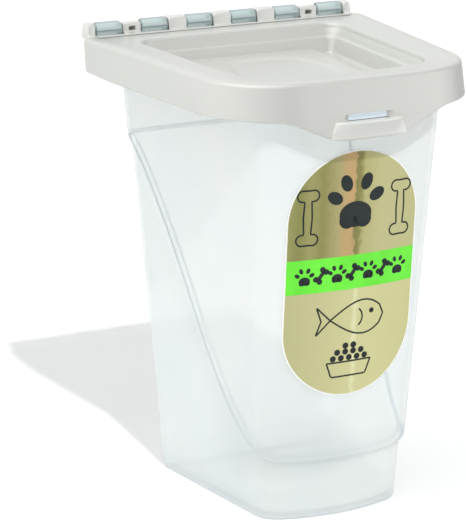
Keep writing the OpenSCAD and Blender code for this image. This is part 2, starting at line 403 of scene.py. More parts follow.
def pearl_plastic(name, low, high):
    """Pearl moulding: soft metallic depth, fine flake and a faint flow pattern."""
    material, tree, shader = new_material(name)
    flow = noise(tree, 9, 4, (1, 1, 2.5))
    tree.links.new(ramp(tree, flow, [(0.3, low), (0.7, high)]), shader.inputs["Base Color"])
    tree.links.new(span(tree, noise(tree, 1500, 2), 0.28, 0.38), shader.inputs["Roughness"])
    bump(tree, shader, noise(tree, 2200, 2), 0.12, 0.03)
    shader.inputs["Metallic"].default_value = 0.45
    return material


def plain_plastic(name, low, high, roughness=(0.4, 0.5)):
    material, tree, shader = new_material(name)
    tree.links.new(ramp(tree, noise(tree, 60, 3), [(0.35, low), (0.65, high)]), shader.inputs["Base Color"])
    tree.links.new(span(tree, noise(tree, 300), *roughness), shader.inputs["Roughness"])
    bump(tree, shader, noise(tree, 1200, 2), 0.1, 0.03)
    return material


def foil(name):
    """Gold foil with painted reflections: upright painted reflection streaks on the upper half, plainer gold
    below with one narrow painted highlight.
    """
    material, tree, shader = new_material(name)
    coords = tree.nodes.new("ShaderNodeTexCoord")
    split = tree.nodes.new("ShaderNodeSeparateXYZ")
    tree.links.new(coords.outputs["Object"], split.inputs["Vector"])
    wobble = tree.nodes.new("ShaderNodeMath")
    wobble.operation = "MULTIPLY_ADD"
    wobble.inputs[1].default_value = 0.006
    tree.links.new(noise(tree, 420, 5, (1, 1, 0.6)), wobble.inputs[0])
    tree.links.new(split.outputs["X"], wobble.inputs[2])
    across = tree.nodes.new("ShaderNodeMapRange")
    across.inputs["From Min"].default_value = label_low.x * MM + 0.003
    across.inputs["From Max"].default_value = label_high.x * MM + 0.003
    tree.links.new(wobble.outputs["Value"], across.inputs["Value"])
    # Painted reflections: light, dark and orange upright streaks across the upper half, fixed on the label
    painted_streaks = ramp(tree, across.outputs["Result"], [
        (0.0, (0.38, 0.37, 0.14)), (0.08, (0.30, 0.30, 0.10)), (0.16, (0.40, 0.38, 0.15)),
        (0.25, (0.31, 0.30, 0.10)), (0.36, (0.46, 0.41, 0.19)), (0.43, (0.60, 0.40, 0.18)),
        (0.485, (0.58, 0.39, 0.18)), (0.50, (0.25, 0.24, 0.08)), (0.53, (0.29, 0.27, 0.09)),
        (0.56, (0.50, 0.47, 0.20)), (0.70, (0.56, 0.54, 0.27)), (1.0, (0.54, 0.53, 0.26)),
    ])
    # Lower half: plainer gold, with a narrow painted highlight stripe near the middle
    plain = ramp(tree, across.outputs["Result"], [
        (0.0, (0.60, 0.58, 0.30)), (0.5, (0.68, 0.66, 0.34)), (0.53, (0.80, 0.80, 0.48)),
        (0.56, (0.68, 0.66, 0.34)), (1.0, (0.64, 0.62, 0.30)),
    ])
    height = tree.nodes.new("ShaderNodeMapRange")
    height.interpolation_type = "SMOOTHSTEP"
    height.inputs["From Min"].default_value = band_low.z * MM
    height.inputs["From Max"].default_value = band_high.z * MM
    tree.links.new(split.outputs["Z"], height.inputs["Value"])
    mix = tree.nodes.new("ShaderNodeMix")
    mix.data_type = "RGBA"
    tree.links.new(height.outputs["Result"], mix.inputs["Factor"])
    tree.links.new(plain, mix.inputs["A"])
    tree.links.new(painted_streaks, mix.inputs["B"])
    tree.links.new(mix.outputs["Result"], shader.inputs["Base Color"])
    tree.links.new(span(tree, noise(tree, 300), 0.28, 0.36), shader.inputs["Roughness"])
    bump(tree, shader, noise(tree, 260, 2), 0.05, 0.02)
    shader.inputs["Metallic"].default_value = 0.35
    return material


# Container plastic: its last colour is the painted shade along the step, the foot's edge and the rim
CLEAR = clear_plastic(
    "frosted_clear", (0.90, 0.95, 0.95), (0.95, 0.98, 0.965), 0.69, (0.35, 0.45), (0.42, 0.52, 0.66))
# Knuckle plastic: its last colour is the dark painted shade of the knuckles' streaks and ends
BLUISH = clear_plastic(
    "clear_bluish", (0.50, 0.62, 0.62), (0.57, 0.68, 0.68), 0.4, (0.08, 0.16), (0.10, 0.15, 0.17))
# The catch glows a little: painted light, standing in for light through the clear rim
CATCH = clear_plastic("clear_catch", (0.74, 0.84, 0.93), (0.80, 0.88, 0.95), 0.1, (0.1, 0.2), painted_glow=0.28)
PEARL = pearl_plastic("pearl_white", (0.66, 0.665, 0.63), (0.70, 0.70, 0.665))
LIP = pearl_plastic("pearl_lip", (0.84, 0.845, 0.81), (0.87, 0.87, 0.84))
BLOCK = pearl_plastic("pearl_block", (0.77, 0.77, 0.735), (0.80, 0.80, 0.765))
PIN = plain_plastic("pin_white", (0.8, 0.8, 0.78), (0.86, 0.86, 0.84))
GOLD = foil("gold_foil")
GREEN = plain_plastic("green_print", (0.12, 0.72, 0.03), (0.15, 0.82, 0.04))
INK = plain_plastic("dark_print", (0.014, 0.020, 0.020), (0.020, 0.028, 0.028), (0.6, 0.7))
BORDER = plain_plastic("label_border", (0.88, 0.88, 0.84), (0.92, 0.92, 0.88))


def finish_piece(obj, material, body, slot_name, *nodes):
    """Material and body of a piece, and hides the CAD nodes that it stands in for. slot_name is not used."""
    obj.data.materials.clear()
    obj.data.materials.append(material)
    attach(obj, body)
    if nodes:
        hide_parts(*nodes)


# ------------------------------------------------------------------- container

WALL_COUNTS = (16, 12, 44, 8)
WALL_BACK = 10


def cubic(p, t):
    weights = ((1 - t) ** 3, 3 * t * (1 - t) ** 2, 3 * t * t * (1 - t), t**3)
    return sum(np.outer(w, point) for w, point in zip(weights, p))


STEP_MID = (8.5, 116.3)
STEP_CURVE = np.vstack([
    cubic([(-72, 36), (-34, 36), (-8.1, 84.4), STEP_MID], np.linspace(0, 1, 60)),
    cubic([STEP_MID, (29.8, 157.1), (60, 203), (72, 206)], np.linspace(0, 1, 60))[1:],
])


def step_height(y):
    return np.interp(y, STEP_CURVE[:, 0], STEP_CURVE[:, 1])


class Wall:
    """One skin of the container wall, g outside the CAD's recessed skin."""

    def __init__(self, g, dy=0.0, dz=0.0):
        counts = (WALL_COUNTS, WALL_BACK)
        self.base = BASE.half(*counts)
        self.base_out = BASE.grown(1).half(*counts) - self.base
        self.mouth = MOUTH.half(*counts)
        self.mouth_out = MOUTH.grown(1).half(*counts) - self.mouth
        self.g = g
        z = np.full(len(self.base), 100.0)
        for _ in range(40):
            z = step_height(self.at(z, 0.5)[:, 1] - dy) + dz
        self.step = z
        y = self.at(z, 0.5)[:, 1] - dy
        slope = (step_height(y + 1) - step_height(y - 1)) / 2
        self.reach = STEP_W / 2 * np.hypot(1, slope)

    def at(self, z, proud, extra=0.0):
        """Right half points at height z (one per column)."""
        g = self.g + extra + STEP_OUT * proud
        share = np.broadcast_to(z, (len(self.base),))[:, None] / WALL_H
        low = self.base + g * self.base_out
        high = self.mouth + (g - STEP_OUT) * self.mouth_out
        return low + (high - low) * share

    def rings(self, bottom, low_rows, step_rows, high_rows):
        """Rings from bottom up to the top of the wall, closely spaced across the step."""
        start, end = self.step - self.reach, self.step + self.reach
        rows = [(bottom + (start - bottom) * k / low_rows, 0) for k in range(low_rows)]
        rows += [(start + (end - start) * k / step_rows, smooth(k / step_rows)) for k in range(step_rows)]
        rows += [(end + (WALL_H - end) * k / high_rows, 1) for k in range(high_rows + 1)]
        # The second value of each ring is the strength of painted shade along the step, highest at its
        # middle
        return [(full_ring(self.at(z, proud), z), 4 * proud * (1 - proud)) for z, proud in rows]


def make_container():
    outer = Wall(0)
    inner = Wall(-WALL_T, -WALL_T, WALL_T)
    counts = (WALL_COUNTS, WALL_BACK)
    edge = 1.5
    fillet = 4
    # The second value of each row is the strength of painted shade: along the step, weaker along the foot's
    # edge and round the rim
    rows = [(full_ring(outer.at(0, 0, -10), 0.8), 0), (full_ring(outer.at(0, 0, -9), 0), 0)]
    for a in np.linspace(0, math.pi / 2, 5):
        z = edge * (1 - math.cos(a))
        rows.append((full_ring(outer.at(z, 0, -edge * (1 - math.sin(a))), z), 0.25))
    rows += outer.rings(edge, 10, 8, 14)[1:]
    rim_section = [
        (-0.5, WALL_H), (0, WALL_H + 0.5), (0, rim_high.z - 0.8), (-0.3, rim_high.z - 0.2),
        (-1, rim_high.z), (-1.7, rim_high.z - 0.2), (-2, rim_high.z - 0.8), (-2, WALL_H + 2.6),
        (-2.8, WALL_H + 1.8),
    ]
    rows += [(full_ring(RIM.grown(g).half(*counts), z), 0.3) for g, z in rim_section]
    rows.append((full_ring(MOUTH.grown(-WALL_T + 0.8).half(*counts), WALL_H + 1.8), 0.3))
    rows += inner.rings(FLOOR_T + fillet, 8, 6, 12)[::-1]
    for a in np.linspace(0, math.pi / 2, 5)[1:]:
        z = FLOOR_T + fillet * (1 - math.sin(a))
        rows.append((full_ring(inner.at(z, 0, -fillet * (1 - math.cos(a))), z), 0))
    rings, crease_shades = zip(*rows)
    body = loft("container_body", rings, 40, crease_shades)
    finish_piece(body, CLEAR, "container", "clear_plastic", "container_shell", "container_rim")


# ------------------------------------------------------------------------- lid

LID_COUNTS = (30, 22, 28, 8)
LID_BACK = 12
# Radius along the lid's top edge, and the height below which the skirt's rows follow its edge
ROUND_R = 2.6
SKIRT_ROWS_Z = 246.0
# The lid's border stands a shallow step above the strip round the pan
BORDER_STEP = 0.35
PAN_LIP_R = 3.0
# The middle of the pan's floor is raised, with a shallow oval dish in it
PLATEAU_H = 4.6
DISH_MID_Y = 4
DISH_HALF_W = 27
DISH_HALF_D = 37
# The tab has its full depth across the middle and fades out towards its ends
TAB_HALF = tab_high.x
TAB_DEPTH = SKIRT_Z - tab_low.z
TAB_FLAT = 14.0
# At the back corners the skirt's edge rises and its flare turns into a slight tuck
REAR_RISE = 7.0
REAR_REACH = 11.0
REAR_TUCK = 1.4
TUCK_FROM_Y = 45
TUCK_REACH = 40
# Slot in the tab: half its length, how far its ends slope in through the wall, bottom and top
SLOT_HALF = 15.0
SLOT_SLOPE = 3.2
SLOT_LOW = 240.2
SLOT_HIGH = 243.8


def lid_half(g, notch_x, rear_y):
    """Right half of the lid outline grown by g, with the cut for the hinge at its back."""
    plan = LID.grown(g)
    cx, cy, r = plan.back_corner
    reach = math.sqrt(max(0.0, r * r - (notch_x - cx) ** 2))
    if notch_x - cx < r and cy + reach > rear_y:
        body = plan.sections(LID_COUNTS, math.atan2(reach, notch_x - cx))
        turn = (notch_x, rear_y)
    else:
        lift = min(rear_y, plan.back_y) - cy
        body = plan.sections(LID_COUNTS, math.atan2(lift, math.sqrt(max(0.0, r * r - lift * lift))))
        turn = body[-1]
    back = line(turn, (0, turn[1]), LID_BACK)
    return np.vstack([body, back])


def pan_half(g):
    """Right half of the pan outline grown by g, with as many points as lid_half()."""
    counts = (*LID_COUNTS[:3], LID_COUNTS[3] + 1)
    return PAN.grown(g).half(counts, LID_BACK)


def tab_depth(x):
    share = np.clip((np.abs(x) - TAB_FLAT) / (TAB_HALF - TAB_FLAT), 0, 1)
    return TAB_DEPTH * (1 - smooth(share))


def rear_rise(y):
    """How far the skirt's bottom edge curves up at its two back ends."""
    over = np.clip((y - LID.back_y + REAR_REACH) / REAR_REACH, 0, 1)
    return REAR_RISE * (1 - np.sqrt(1 - over**2))


def skirt_growth(z):
    """How far the skirt stands outside the lid outline at height z."""
    return np.interp(-z, [ROUND_R - LID_TOP, -SKIRT_Z, 16 - SKIRT_Z], [0, FLARE, FLARE + 0.8])


def skirt_ring(z, inner, lift=0.0, back_off=0.0):
    """Ring of the skirt's outer or inner face.

    Up to 1, z is a share of the way from SKIRT_ROWS_Z down to the bottom edge. Above 1 it is a height.
    """
    thickness = SKIRT_T if inner else 0
    notch, rear = (NOTCH_X + SKIRT_T, REAR_Y - 1.5) if inner else (NOTCH_X, REAR_Y)
    low_half = lid_half(FLARE - thickness - back_off, notch, rear)
    high_half = lid_half(-thickness - back_off, notch, rear)
    if z <= 1:
        in_front = high_half[:, 1] < 0
        bottom = SKIRT_Z - tab_depth(high_half[:, 0]) * in_front + rear_rise(low_half[:, 1])
        heights = SKIRT_ROWS_Z - (SKIRT_ROWS_Z - bottom) * z + lift
    else:
        heights = np.full(len(high_half), z)
    towards_back = smooth(np.clip((high_half[:, 1] - TUCK_FROM_Y) / TUCK_REACH, 0, 1))
    share = (skirt_growth(heights) / FLARE * (1 - REAR_TUCK * towards_back))[:, None]
    points = high_half + (low_half - high_half) * share
    rear_columns = np.arange(len(points)) >= len(points) - LID_BACK - 1
    heights = np.where(rear_columns, np.maximum(heights, LID_TOP - LID_T), heights)
    return full_ring(points, heights)


def plateau_ring(g, z, dish=0.0):
    """Ring of the raised middle of the pan's floor, grown by g; dish draws it in to an oval."""
    counts = (*LID_COUNTS[:3], LID_COUNTS[3] + 1)
    half = PLATEAU.grown(g).half(counts, LID_BACK)
    around = np.arctan2(half[:, 0], DISH_MID_Y - half[:, 1])
    oval = np.column_stack([DISH_HALF_W * np.sin(around), DISH_MID_Y - DISH_HALF_D * np.cos(around)])
    return full_ring(half + (oval - half) * dish, z)


def make_lid():
    """Lid as one moulding, from the middle of the pan out over the skirt and back underneath."""
    top = LID_TOP - BORDER_STEP
    middle = PAN_FLOOR + PLATEAU_H
    dished = [(1.0, -0.9), (0.96, -0.88), (0.85, -0.6), (0.7, -0.2), (0.5, 0)]
    slope = [
        (-4, 0), (-1.6, 0), (-0.9, -0.15), (-0.3, -0.7), (0.2, -1.6), (0.9, -3.6), (1.3, -4.3),
        (1.8, -PLATEAU_H),
    ]
    rings = [plateau_ring(-6, middle + drop, dish) for dish, drop in dished]
    rings += [plateau_ring(g, middle + drop) for g, drop in slope]
    pan_section = [
        (-7.4, PAN_FLOOR), (-6.7, PAN_FLOOR + 0.3), (-6.2, PAN_FLOOR + 1.2), (-4.4, 253.2),
        (-4.1, 253.8), (-3.6, 254.1), (-2.7, 254.2), (-2.3, 254.6), (-2.0, 255.2),
        (-0.5, top - 3.6),
    ]
    rings += [full_ring(pan_half(g), z) for g, z in pan_section]
    for a in np.linspace(0, math.pi / 2, 7):
        rings.append(full_ring(pan_half(PAN_LIP_R * (1 - math.cos(a))), top - PAN_LIP_R * (1 - math.sin(a))))
    border = [(-10.2, 1), (-9.8, 0.8), (-9.2, 0.2), (-8.8, 0)]
    rings += [full_ring(lid_half(g, NOTCH_X, REAR_Y), LID_TOP - BORDER_STEP * down) for g, down in border]
    for a in np.linspace(math.pi / 2, 0, 9):
        g = -ROUND_R * (1 - math.cos(a))
        rings.append(full_ring(lid_half(g, NOTCH_X, REAR_Y), LID_TOP - ROUND_R * (1 - math.sin(a))))
    for z in (254, 250, 247.5):
        rings.append(skirt_ring(z, False))
    shares = np.linspace(0, 1, 9)
    rings += [skirt_ring(s, False) for s in shares[:-1]]
    rings.append(skirt_ring(1, False, lift=0.5))
    rings.append(skirt_ring(1, False, lift=0.15, back_off=0.15))
    rings.append(skirt_ring(1, False, back_off=0.5))
    rings.append(skirt_ring(1, True, back_off=-0.4))
    rings.append(skirt_ring(1, True, lift=0.4))
    rings += [skirt_ring(s, True) for s in shares[-2::-1]]
    rings += [skirt_ring(z, True) for z in (250, LID_TOP - LID_T - 1)]
    under = LID_TOP - LID_T
    rings.append(full_ring(lid_half(-SKIRT_T - 1, NOTCH_X + SKIRT_T, REAR_Y - 1.5), under))
    under_section = [
        (PAN_T + 1, under), (PAN_T, under - 1), (PAN_T - 2.0, 254.0), (PAN_T - 2.6, 253.0),
        (PAN_T - 4.4, PAN_FLOOR + 0.3), (PAN_T - 6, PAN_FLOOR - PAN_T),
    ]
    rings += [full_ring(pan_half(g), z) for g, z in under_section]
    rings += [plateau_ring(g - PAN_T, middle + drop - PAN_T) for g, drop in slope[::-1]]
    rings += [plateau_ring(-6, middle + drop - PAN_T, dish) for dish, drop in dished[::-1]]
    lid = loft("lid_moulding", rings, 40)
    cut_away(lid, slot_cutter(), 40)
    lid.data.materials.clear()
    lid.data.materials.append(PEARL)
    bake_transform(lid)
    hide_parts("lid_panel", "lid_skirt", "lid_pan", "latch_tab")


def slot_cutter():
    """Cutter for the slot, whose ends slope inwards through the wall."""
    rings = []
    face = skirt_low.y
    inside = face + SKIRT_T
    for y, less in ((face - 5, 0), (face + 0.3, 0), (inside + 0.3, SLOT_SLOPE), (face + 6, SLOT_SLOPE)):
        half = SLOT_HALF - less
        outline = rounded_box_outline(-half, half, SLOT_LOW, SLOT_HIGH, 1.5)
        rings.append(np.column_stack([outline[:, 0], np.full(len(outline), y), outline[:, 1]]))
    return loft("slot_cutter", rings)


def make_lip():
    """Thumb lip: a crescent shelf under the slot that fades into the tab below it."""
    half = 22.0
    widening = 2.5
    top = SLOT_LOW
    bottom = tab_low.z + 1.2
    out = skirt_low.y - lip_low.y - 0.4
    # Share of the full reach outwards, or mm inwards where it is negative, and height
    section = [
        (-1.2, bottom - 0.4), (0, bottom), (0.06, bottom + 1), (0.18, bottom + 2.4), (0.42, bottom + 4.6),
        (0.68, top - 3), (0.88, top - 1.6), (0.98, top - 0.9), (1.0, top - 0.5), (0.97, top - 0.18),
        (0.88, top), (0.4, top), (0.1, top), (-1.2, top),
    ]
    rings = []
    for share in np.sin(np.linspace(-math.pi / 2, math.pi / 2, 41)):
        groove = 0.35 * math.exp(-(share * half / 0.45) ** 2)
        ring = []
        for away, z in section:
            x = share * (half - 1.2 + widening * (top - z) / (top - bottom))
            g = float(skirt_growth(np.array(z)))
            stands = away * out * (1 - share**4) ** 0.6 if away > 0 else away
            if away > 0.5:
                stands -= groove
            ring.append((x, LID.grown(g).front_y_at(x) - stands, z))
        rings.append(np.array(ring))
    lip = loft("thumb_lip_moulding", rings, 45)
    finish_piece(lip, LIP, "latch", "pearl_plastic", "thumb_lip")


# ----------------------------------------------------------------------- hinge


def knuckle_outline():
    """Side view of a knuckle on its arm, down the back of the rim."""
    r = KNUCKLE_R
    top = arc(AXIS_Y, AXIS_Z, r, math.radians(-25), math.radians(205), 46)
    back = rim_high.y
    arm = np.array([
        (AXIS_Y - r, AXIS_Z - 5), (back, rim_high.z - 1), (back, WALL_H + 7), (back + 1.5, WALL_H + 5.6),
        (AXIS_Y - 2.5, WALL_H + 5.6), (AXIS_Y + r - 1.2, AXIS_Z - 9),
    ])
    return np.vstack([top, arm])


def painted_streak_shares(outline):
    """Strength of the two long painted shade streaks at each point of a knuckle's side view, standing in for
    the dark bands that refraction draws in the clear knuckle.
    """
    turn = np.degrees(np.arctan2(outline[:, 1] - AXIS_Z, outline[:, 0] - AXIS_Y)) % 360
    upper = np.exp(-((turn - 84) / 22) ** 2)
    lower = 0.85 * np.exp(-((turn - 176) / 6) ** 2)
    return np.maximum(upper, lower)


def block_outline(half, r):
    """Rounded square about the axis, with a web forward to the lid's back edge."""
    ring = rounded_box_outline(AXIS_Y - half, AXIS_Y + half, AXIS_Z - half, AXIS_Z + half, r)
    keep = ring[ring[:, 0] > AXIS_Y - half + 0.01]
    low = LID_TOP - LID_T
    high = LID_TOP
    web = np.array([
        (AXIS_Y - half, high + 1.0), (AXIS_Y - half - 0.3, high + 0.4), (REAR_Y - 1.6, high - 0.05),
        (REAR_Y - 1, low + 0.2), (AXIS_Y - half, low + 0.2),
    ])
    start = np.argmin(np.hypot(keep[:, 0] - (AXIS_Y + half - r), keep[:, 1] - (AXIS_Z - half)))
    keep = np.roll(keep, -start, axis=0)
    above = keep[(keep[:, 0] > AXIS_Y) | (keep[:, 1] > high + 1)]
    below = keep[(keep[:, 0] <= AXIS_Y) & (keep[:, 1] <= low - 0.2)]
    return np.vstack([above, web, below])


def make_ear(name, side):
    """End block of the hinge, with an outer face that slopes down to the lid's back corner."""
    outline = block_outline(KNUCKLE_R, BLOCK_EDGE_R)
    out = ear_high.x
    # Distance from the middle, inset of the outline, drop of its top
    stations = (
        (EAR_IN_X, 0.6, 0), (EAR_IN_X + 0.6, 0, 0), (out - 0.6, 0, 0),
        (out + 0.3, 0.15, 0.5), (out + 0.9, 0.4, 3.4), (out + 1.3, 1.0, 5.8),
    )
    rings = []
    for x, shrink, lower in stations:
        flat = inset(outline, shrink)
        top = AXIS_Z + KNUCKLE_R - lower
        heights = np.where(flat[:, 1] > AXIS_Z - 2, np.minimum(flat[:, 1], top), flat[:, 1])
        rings.append(np.column_stack([np.full(len(flat), side * x), flat[:, 0], heights]))
    return loft(name, rings, 50)


def cut_window_hole(window, x):
    """Cuts the small blind hole in the front of a window block."""
    hole = rounded_box_outline(x - 2.2, x + 2.2, AXIS_Z - 1.0, AXIS_Z + 1.7, 0.6, 3)
    rings = []
    for y in (AXIS_Y - 8, AXIS_Y + 2.6):
        rings.append(np.column_stack([hole[:, 0], np.full(len(hole), y), hole[:, 1]]))
    cut_away(window, loft("hole_cutter", rings), 50)


def make_back_bead():
    """Low bead along the lid's back edge, in front of the knuckles."""
    outline = np.array([
        (REAR_Y - 2.4, LID_TOP - 1.5), (REAR_Y - 0.05, LID_TOP - 1.5), (REAR_Y - 0.05, LID_TOP + 0.15),
        (REAR_Y - 0.3, LID_TOP + 0.38), (REAR_Y - 0.7, LID_TOP + 0.42), (REAR_Y - 1.2, LID_TOP + 0.3),
        (REAR_Y - 2.7, LID_TOP - 0.37), (REAR_Y - 2.7, LID_TOP - 0.9),
    ])
    bead = bar_along_x("lid_back_bead", outline, -EAR_IN_X, EAR_IN_X, 0.3)
    finish_piece(bead, PEARL, "lid", "pearl_plastic")


def make_hinge():
    pitch = (knuckle_high.x - knuckle_low.x - KNUCKLE_LEN) / (KNUCKLES - 1)
    half_len = KNUCKLE_LEN / 2
    outline = knuckle_outline()
    for i in range(KNUCKLES):
        x = knuckle_low.x + half_len + i * pitch
        # Knuckles carry painted shade: two dark streaks along each and darker rounded ends
        knuckle = bar_along_x(
            f"hinge_knuckle_{i + 1}", outline, x - half_len, x + half_len, 1.9, 5, painted_streak_shares(outline))
        finish_piece(knuckle, BLUISH, "container", "clear_plastic", "hinge_knuckles")
    half_w = (block_high.x - block_low.x - 2 * pitch) / 2
    outline = block_outline(KNUCKLE_R, BLOCK_EDGE_R)
    for i in (-1, 0, 1):
        x = i * pitch
        block = bar_along_x(f"hinge_block_{i + 2}", outline, x - half_w, x + half_w, 0.7)
        finish_piece(block, BLOCK, "lid", "pearl_plastic", "hinge_blocks")
    outline = block_outline(window_high.z - AXIS_Z, WINDOW_EDGE_R)
    for i, side in enumerate((-1, 1), 1):
        x = side * 2 * pitch
        window = bar_along_x(f"hinge_window_{i}", outline, x - half_w, x + half_w, 0.6)
        cut_window_hole(window, x)
        finish_piece(window, BLOCK, "lid", "pearl_plastic", "hinge_windows")
        ear = make_ear(f"hinge_ear_{i}", side)
        finish_piece(ear, BLOCK, "lid", "pearl_plastic", "hinge_ears")
    make_back_bead()
    inner, outer = 2 * pitch - PIN_GAP, 2 * pitch + PIN_GAP
    outline = arc(AXIS_Y, AXIS_Z, PIN_R, 0, 2 * math.pi, 24)[:-1]
    for i, (x0, x1) in enumerate(((-inner, inner), (outer, ear_high.x), (-ear_high.x, -outer)), 1):
        pin = bar_along_x(f"hinge_pin_{i}", outline, x0, x1, 0.5)
        finish_piece(pin, PIN, "lid", "pin_plastic", "hinge_pins")


def make_catch():
    """Catch on the front of the rim, behind the slot of the latch."""
    half = 15.0
    end_r = 3
    front = lug_low.y
    low, high = lug_low.z - 0.8, lug_high.z + 0.9
    back = -84.0
    left = -half + end_r * (1 - np.cos(np.linspace(0, math.pi / 2, 6)))
    middle = np.linspace(end_r - half, half - end_r, 9)[1:-1]
    right = half - end_r * (1 - np.cos(np.linspace(math.pi / 2, 0, 6)))
    rings = []
    for x in np.concatenate([left, middle, right]):
        past = max(0.0, abs(x) - (half - end_r)) / end_r
        tip = front + end_r * (1 - math.sqrt(max(0.0, 1 - past * past))) + x * x / 800
        rings.append(np.array([
            (x, back, low), (x, tip + 0.5, low), (x, tip, low + 0.6), (x, tip, high - 1.4),
            (x, tip + 0.3, high - 0.6), (x, tip + 1.0, high - 0.1), (x, tip + 1.8, high), (x, back, high),
        ]))
    catch = loft("catch_moulding", rings, 45)
    finish_piece(catch, CATCH, "container", "clear_plastic", "catch_lug")


# ----------------------------------------------------------------------- label

LABEL_R = (label_high.x - label_low.x) / 2
LABEL_Z = (label_low.z + label_high.z) / 2
LABEL_HALF_H = (label_high.z - label_low.z) / 2
FRONT = Wall(0)
FOIL_T = 0.2
PRINT_T = 0.12


def on_front(x, z, lift):
    """Point on the front wall, lift outside its surface."""
    half = FRONT.at(z, 1, lift)
    columns = WALL_COUNTS[0] + WALL_COUNTS[1]
    y = np.interp(abs(x), half[:columns, 0], half[:columns, 1])
    return (x, y, z)


def label_grid(name, left, right, low, high, lift, columns, rows):
    """Sheet on the front wall; low and high are functions of x that give heights."""
    xs = (left + right) / 2 - (right - left) / 2 * np.cos(np.linspace(0, math.pi, columns + 1))
    points = []
    for x in xs:
        for z in np.linspace(low(x), high(x), rows + 1):
            points.append(on_front(x, z, lift))
    faces = []
    for i in range(columns):
        for k in range(rows):
            a = i * (rows + 1) + k
            faces.append((a, a + rows + 1, a + rows + 2, a + 1))
    return add_mesh(name, points, faces)


def end_height(x, r):
    """Half height of the label at x, for a label of half width r."""
    straight = LABEL_HALF_H - LABEL_R
    return straight + math.sqrt(max(0.0, r * r - x * x))


def oval_sheet(name, grow, lift):
    """Sheet in the shape of the label, grown by grow."""
    return label_grid(
        name, label_low.x - grow, label_high.x + grow,
        lambda x: LABEL_Z - end_height(x, LABEL_R + grow),
        lambda x: LABEL_Z + end_height(x, LABEL_R + grow),
        lift, 48, 40)


def make_label():
    border = oval_sheet("label_border", 0.7, 0.02)
    thicken(border, PRINT_T)
    finish_piece(border, BORDER, "container", "gold_foil")
    gold = oval_sheet("label_foil", 0.0, 0.1)
    thicken(gold, FOIL_T)
    finish_piece(gold, GOLD, "container", "gold_foil", "front_label")
    band = label_grid(
        "label_green_band", label_low.x, label_high.x,
        lambda x: band_low.z, lambda x: band_high.z, 0.25, 40, 6)
    thicken(band, PRINT_T)
    finish_piece(band, GREEN, "container", "green_band", "label_band")


# --------------------------------------------------------------------- picture


